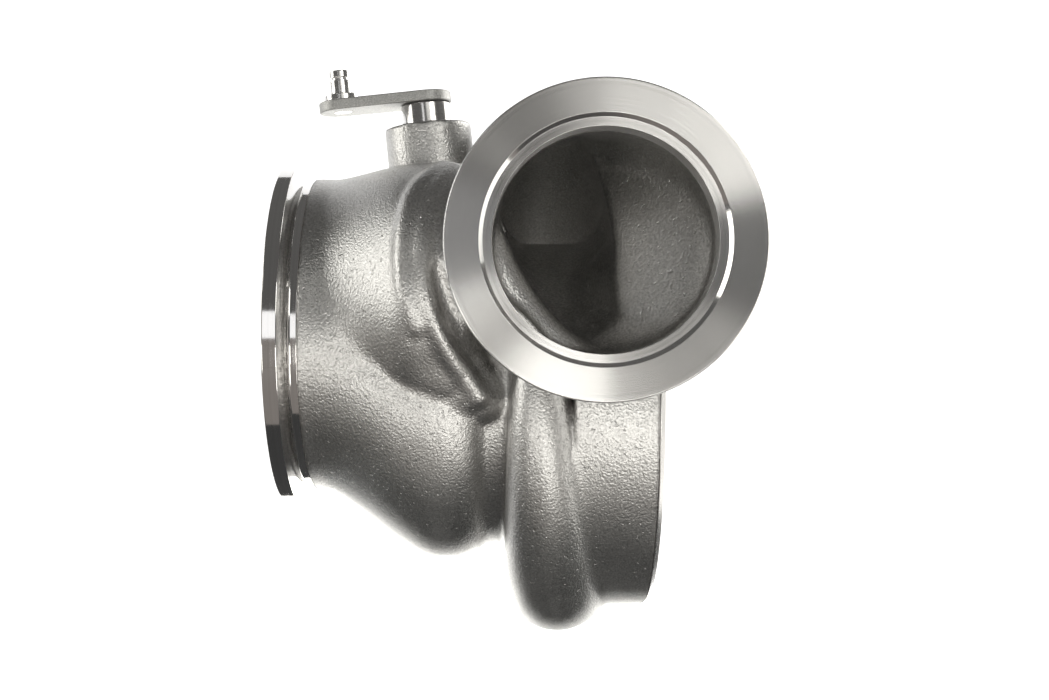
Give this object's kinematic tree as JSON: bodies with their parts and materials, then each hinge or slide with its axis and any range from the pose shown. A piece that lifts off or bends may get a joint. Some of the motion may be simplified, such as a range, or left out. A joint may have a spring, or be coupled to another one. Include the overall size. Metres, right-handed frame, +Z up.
{
  "type": "turbine housing",
  "caption": "Cast turbine housing with V-band inlet and outlet rims, a scroll round the wheel bore, and an internal gate valve worked by a shaft and lever on top.",
  "frame": {"origin": "centre of the bearing face, on the turbine axis", "axes": "+X along the turbine axis out of the bearing side, -Y out of the inlet, +Z up through the gate boss"},
  "size_m": [0.1157, 0.1456, 0.1505],
  "materials": {
    "cast_steel": "blasted investment casting",
    "machined_steel": "fine turned",
    "polished_steel": "polished",
    "blasted_steel": "bead blasted",
    "valve_steel": "ground"
  },
  "bodies": {
    "housing": {"casting": "cast_steel", "bearing_flange": "cast_steel", "inlet_flange": "machined_steel", "outlet_flange": "polished_steel", "gate_bushing": "polished_steel"},
    "gate": {"gate_shaft": "machined_steel", "swing_arm": "valve_steel", "gate_lever": "blasted_steel", "actuator_pin": "polished_steel"},
    "valve": {"gate_valve": "valve_steel", "valve_washer": "machined_steel", "valve_cap": "valve_steel"}
  },
  "joints": [
    {"name": "gate_swing", "type": "hinge", "parent": "housing", "child": "gate", "pos_m": [-0.0547, 0, 0.036], "axis": [0.0993, 0, -0.9951], "range_deg": [0, 45]},
    {"name": "valve_turn", "type": "hinge", "parent": "gate", "child": "valve", "pos_m": [-0.0547, -0.022, 0.036], "axis": [0.9951, 0, 0.0993], "continuous": true}
  ]
}
